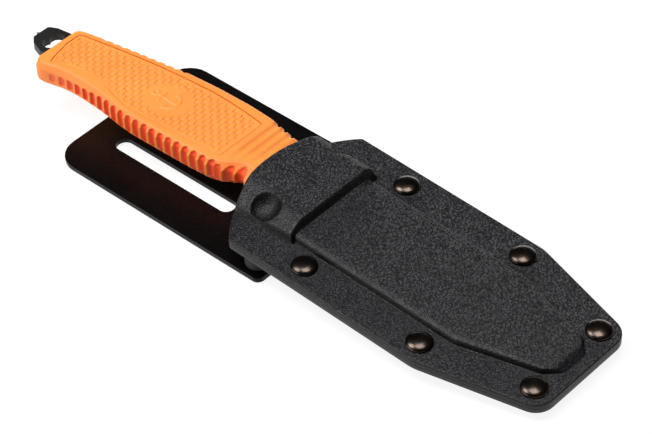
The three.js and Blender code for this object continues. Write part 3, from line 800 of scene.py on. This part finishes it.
def formed(x, y, inner):
    """Height of the formed sheet: inner = 0 on its face, 1 on its inside."""
    base = SHEET - inner * (SHEET - SEAM)
    grow = inner * 1.5
    foot_low = POCKET_LOW + grow * 0.5
    rim_low = np.interp(x, [MOUTH_X, -26, -12], [-9.4, -11.4, -14.0]) + grow * 0.4
    top = POCKET_TOP - inner * SHEET
    low_wall = base + (y - foot_low) * LOW_WALL_SLOPE
    low_lean = top - (rim_low - y) * RIDGE_FALL
    low = smaller(low_wall, low_lean, 0.7)
    high_wall = base + (POCKET_HIGH - grow - y) * HIGH_WALL_SLOPE
    high_lean = top - (y + grow - POCKET_HIGH_RIM) * FAR_RIM_FALL
    high = smaller(high_wall, high_lean, 0.6)
    end = base + (POCKET_END - grow - x) * END_WALL_SLOPE
    level = np.full(x.shape, top)
    pocket = smaller(smaller(low, high, 1.2), end, 0.9)
    pocket = smaller(pocket, level, 0.9)
    reach = inside(np.column_stack([x, y]), bulge_line) - grow
    gentle = (BULGE_TIP - grow - x) * TIP_SLOPE
    reach = smaller(reach * np.interp(y, [4, 14], [1, 0.35]), gentle, 0.3)
    flat_of_bulge = BULGE_TOP - inner * SHEET
    bulge_wall = base + reach * BULGE_WALL_SLOPE
    bulge_lean = flat_of_bulge - (RIDGE_WIDTH - reach) * RIDGE_FALL
    bulge = smaller(bulge_wall, bulge_lean, 0.5)
    bulge = smaller(bulge, np.full(x.shape, flat_of_bulge), 0.3)
    height = larger(np.full(x.shape, base), bulge, 0.5)
    height = larger(height, pocket, 0.6)
    for cx, cy, cz, radius in (NEAR_DENT, FAR_DENT):
        grown = radius + inner * SHEET
        square = grown**2 - (x - cx) ** 2 - (y - cy) ** 2
        ball = cz - np.sqrt(np.clip(square, 0, None))
        height = np.where(square > 0, smaller(height, np.maximum(ball, base), 0.5), height)
    return np.maximum(height, base)


# The mesh is finer along the wall of the blade's bulge and over the whole of the handle's pocket.
FINE_STEP = 0.34
BULGE_STARTS = -8
WALL_RINGS = (-0.5, -0.25, -0.05, 0.15, 0.35, 0.6, 1.0, 1.5, 1.95)
around_bulge = np.vstack([moved_in(bulge_line, distance) for distance in WALL_RINGS])
pocket_x = np.arange(-48, BULGE_STARTS, FINE_STEP)
pocket_y = np.arange(-22, 23, FINE_STEP)
over_pocket = np.stack(np.meshgrid(pocket_x, pocket_y), -1).reshape(-1, 2)
finer_points = np.vstack([around_bulge[around_bulge[:, 0] > BULGE_STARTS],
                          over_pocket[over_pocket[:, 0] < BULGE_STARTS]])


def coarse(p):
    """Whether each point of the plain grid is clear of the finer points."""
    off_wall = (np.abs(inside(p, bulge_line) - 0.7) > 1.6) | (p[:, 0] < BULGE_STARTS)
    off_pocket = (p[:, 0] > BULGE_STARTS + 0.2) | (np.abs(p[:, 1] - 0.5) > 22.6)
    return off_wall & off_pocket


flat, faces = filled(shell_line, [0.1, 0.25, 0.5, 0.9], 0.62, finer_points, coarse)
x, y = flat[:, 0], flat[:, 1]
depth = np.clip(inside(flat, shell_line), 0, None)
outer = np.column_stack([x, y, formed(x, y, 0) - fallen_edge(depth, SHELL_ROUND)])
inner = np.column_stack([x, y, formed(x, y, 1)])
n, rim = len(flat), len(shell_line)
shell_points = np.vstack([outer, inner])
shell_faces = list(faces) + [tuple(n + i for i in f[::-1]) for f in faces]
shell_faces += [(k, n + k, n + (k + 1) % rim, (k + 1) % rim) for k in range(rim)]
sawn = np.concatenate([np.clip(1 - depth / 0.7, 0, 1), np.clip(1 - depth / 0.3, 0, 1)])


def slope(x, y):
    """Steepness of the outer face, as a rise over a run."""
    reach = 0.15
    across = formed(x + reach, y, 0) - formed(x - reach, y, 0)
    along = formed(x, y + reach, 0) - formed(x, y - reach, 0)
    return np.hypot(across, along) / (2 * reach)


# Painted shade: the colour is darkened on the steep walls, on a strip past the foot of the walls on the
# belly side and on the sides of the near dent, standing in for the shade and contact shadow that fall
# there.
FOOT_STRIP = 0.8
wall = np.clip((slope(x, y) - 0.8) / 1.2, 0, 1)
past_foot = np.clip((slope(x, y + FOOT_STRIP) - 1.0) / 1.2, 0, 1) * (y < 0)
in_dent = np.hypot(x - NEAR_DENT[0], y - NEAR_DENT[1]) < 6.0
dent_side = np.clip((slope(x, y) - 0.3) / 0.5, 0, 1) * in_dent
painted_shade = np.tile(np.maximum.reduce([wall, past_foot, 0.9 * dent_side]), 2)

# Pebble grain: small rounded cells with soft valleys, drawn out a little along the sheet.
pebble, nodes, links, start, end = sized_group("pebble", ["Height"])
place = nodes.new("ShaderNodeTexCoord")
warp = nodes.new("ShaderNodeTexNoise")
warp.inputs["Scale"].default_value = 500
links.new(place.outputs["Object"], warp.inputs["Vector"])
push = nodes.new("ShaderNodeVectorMath")
push.operation = "MULTIPLY_ADD"
push.inputs[1].default_value = (0.0009, 0.0009, 0.0009)
links.new(warp.outputs["Color"], push.inputs[0])
links.new(place.outputs["Object"], push.inputs[2])
pull = nodes.new("ShaderNodeMapping")
pull.inputs["Rotation"].default_value = (0, 0, math.radians(-6))
pull.inputs["Scale"].default_value = (0.5, 1.3, 1)
links.new(push.outputs["Vector"], pull.inputs["Vector"])
cells = nodes.new("ShaderNodeTexVoronoi")
cells.feature = "DISTANCE_TO_EDGE"
links.new(pull.outputs["Vector"], cells.inputs["Vector"])
links.new(start.outputs["Size"], cells.inputs["Scale"])
soft_cell = nodes.new("ShaderNodeMapRange")
soft_cell.interpolation_type = "SMOOTHSTEP"
soft_cell.inputs["From Min"].default_value = -0.08
soft_cell.inputs["From Max"].default_value = 0.5
links.new(cells.outputs["Distance"], soft_cell.inputs["Value"])
links.new(soft_cell.outputs["Result"], end.inputs["Height"])

shell_sheet, nodes, links, shader = plain_material("pebbled_sheet", (0.02, 0.02, 0.022), 0.5)
grain = group_in(nodes, pebble, 1500)
cloud = group_in(nodes, mottle, 40)
color = two_tone(nodes, links, grain.outputs["Height"], (0.003, 0.003, 0.0042), (0.021, 0.021, 0.0265))
# Painted shade: near-black on the steep walls, on a strip past their foot on the belly side and on the
# sides of the near dent.
color = paint_mask(nodes, links, "painted_shade", color, (0.001, 0.001, 0.0012))
color = paint_mask(nodes, links, "sawn", color, (0.005, 0.0046, 0.0048))
links.new(color, shader.inputs["Base Color"])
links.new(spread(nodes, links, cloud.outputs["Cloud"], 0.36, 0.46), shader.inputs["Roughness"])
shader.inputs["Specular IOR Level"].default_value = 0.32
bumped(nodes, links, grain.outputs["Height"], shader, 1.0, 0.00009)

for word, side in (("front", 1), ("back", -1)):
    mesh = both_ways("shell", shell_points, shell_faces, side)
    put_mask(mesh, "sawn", sawn)
    put_mask(mesh, "painted_shade", painted_shade)
    smooth(mesh, 50)
    link(f"{word}_formed_shell", mesh, "sheath", shell_sheet, [f"{word}_shell"])

# ---------------------------------------------------------------- rivets
# Two-piece snap rivets, turned brass under a black-brown finish. The front cap is a smooth dome, and
# the socket behind is a flat button whose tube passes through both sheets.
RIVET_PAIRS = ((0, 24), (48, 24.4), (85.4, 15.4))
HEAD_RADIUS = 4.4
HEAD_SEAT = 1.9
DOME_FOOT = 2.25
DOME_RISE = 1.5
rivet_gloss, nodes, links, shader = plain_material("rivet_gloss", (0.05, 0.035, 0.028), 0.15, 1.0)
grain = group_in(nodes, mottle, 260)
links.new(two_tone(nodes, links, grain.outputs["Cloud"], (0.022, 0.019, 0.015), (0.075, 0.05, 0.037)),
          shader.inputs["Base Color"])
links.new(spread(nodes, links, grain.outputs["Fine"], 0.16, 0.32), shader.inputs["Roughness"])
shader.inputs["Coat Weight"].default_value = 0.25
shader.inputs["Coat Roughness"].default_value = 0.2

dome = [(HEAD_RADIUS * math.cos(a), DOME_FOOT + DOME_RISE * math.sin(a))
        for a in np.linspace(0, math.pi / 2, 12)]
dome[-1] = (0, DOME_FOOT + DOME_RISE)
cap_post = [(0, -1.2), (1.1, -1.2), (1.3, -1.0), (1.3, HEAD_SEAT)]
cap_profile = cap_post + [(4.25, HEAD_SEAT), (HEAD_RADIUS, 2.02)] + dome
button = [(0, -3.0), (1.4, -3.0), (1.55, -2.85), (2.9, -2.85), (3.7, -2.72), (4.2, -2.45),
          (HEAD_RADIUS, -2.2), (HEAD_RADIUS, -2.0), (4.3, -HEAD_SEAT)]
tube = [(1.9, -HEAD_SEAT), (1.9, 1.6), (1.5, 1.65), (1.45, 1.5), (1.45, -1.4), (0, -1.4)]
socket_profile = button + tube
number = 0
for x, y in RIVET_PAIRS:
    for side in (-1, 1):
        number += 1
        for word, profile in (("cap", cap_profile), ("socket", socket_profile)):
            mesh = turned(profile, 56)
            mesh.transform(on_axis @ Matrix.Translation((x, side * y, 0)))
            smooth(mesh, 40)
            plain = f"rivet_{word}_{number}"
            link(f"turned_{word}_{number}", mesh, "sheath", rivet_gloss, [plain])

# ---------------------------------------------------------------- belt plate
# A flat glossy black plate behind the sheath, moulded with two slots for a belt or strap. Its edges
# are barely rounded: of the width asked for, about 0.05 mm comes out.
PLATE_ARRIS = 0.0003
plate_gloss, nodes, links, shader = plain_material("plate_gloss", (0.012, 0.011, 0.011), 0.25)
grain = group_in(nodes, mottle, 45)
color = two_tone(nodes, links, grain.outputs["Cloud"], (0.0015, 0.0011, 0.0011), (0.0036, 0.0026, 0.0026))
links.new(color, shader.inputs["Base Color"])
shader.inputs["Specular IOR Level"].default_value = 0.14
links.new(spread(nodes, links, grain.outputs["Fine"], 0.22, 0.36), shader.inputs["Roughness"])
bumped(nodes, links, grain.outputs["Cloud"], shader, 0.15, 0.0002)
plate = arris_broken("belt_plate", PLATE_ARRIS)
link("slotted_plate", plate, "sheath", plate_gloss, ["belt_plate"])

# ---------------------------------------------------------------- plate fixings
# Rubber spacers hold the plate at its angle, and blackened countersunk screws pass through them
# into threaded barrels whose heads are trapped between the shells.
SPACER_ARRIS = 0.0003
SCREW_X = -19
SCREW_Y = 25.3
SCREW_FACE = -9.4
SCREW_END = -3.0
SOCKET_HALF = 1.2
SOCKET_FLOOR = -8.0
SHANK_RADIUS = 1.4
spacer_rubber, nodes, links, shader = plain_material("spacer_rubber", (0.015, 0.015, 0.015), 0.75)
grain = group_in(nodes, mottle, 200)
links.new(two_tone(nodes, links, grain.outputs["Cloud"], (0.01, 0.01, 0.01), (0.025, 0.025, 0.025)),
          shader.inputs["Base Color"])
links.new(spread(nodes, links, grain.outputs["Fine"], 0.65, 0.85), shader.inputs["Roughness"])
bumped(nodes, links, grain.outputs["Fine"], shader, 0.3, 0.00004)

screw_black, nodes, links, shader = plain_material("screw_black", (0.03, 0.03, 0.032), 0.35, 0.9)
grain = group_in(nodes, mottle, 300)
links.new(two_tone(nodes, links, grain.outputs["Cloud"], (0.02, 0.02, 0.022), (0.06, 0.06, 0.062)),
          shader.inputs["Base Color"])
links.new(spread(nodes, links, grain.outputs["Fine"], 0.25, 0.45), shader.inputs["Roughness"])


def socket_screw(x, y):
    """A countersunk screw, head down, with a hexagonal socket in its head."""
    sides = 48
    angles = [2 * math.pi * k / sides for k in range(sides)]
    hexagon = [SOCKET_HALF / math.cos((a % (math.pi / 3)) - math.pi / 6) for a in angles]
    chamfered = [h + 0.12 for h in hexagon]
    rings = [(hexagon, SOCKET_FLOOR), (hexagon, -9.25), (chamfered, SCREW_FACE)]
    head = [(2.9, SCREW_FACE), (3.12, -9.32), (3.2, -9.1), (1.45, -7.35)]
    shank = [(SHANK_RADIUS, -7.2), (SHANK_RADIUS, -3.1), (1.3, SCREW_END)]
    rings += [([radius] * sides, z) for radius, z in head + shank]
    mesh = from_rings("screw", rings, SOCKET_FLOOR, SCREW_END)
    mesh.transform(on_axis @ Matrix.Translation((x, y, 0)))
    smooth(mesh, 30)
    return mesh


for word, side in (("low", -1), ("high", 1)):
    spacer = arris_broken(f"plate_spacer_{word}", SPACER_ARRIS, 40)
    link(f"rubber_spacer_{word}", spacer, "sheath", spacer_rubber, [f"plate_spacer_{word}"])
    screw = socket_screw(SCREW_X, side * SCREW_Y)
    link(f"socket_screw_{word}", screw, "sheath", screw_black, [f"plate_screw_{word}"])
    barrel = frame["nodes"][f"plate_barrel_{word}"].data
    barrel.materials.clear()
    barrel.materials.append(screw_black)
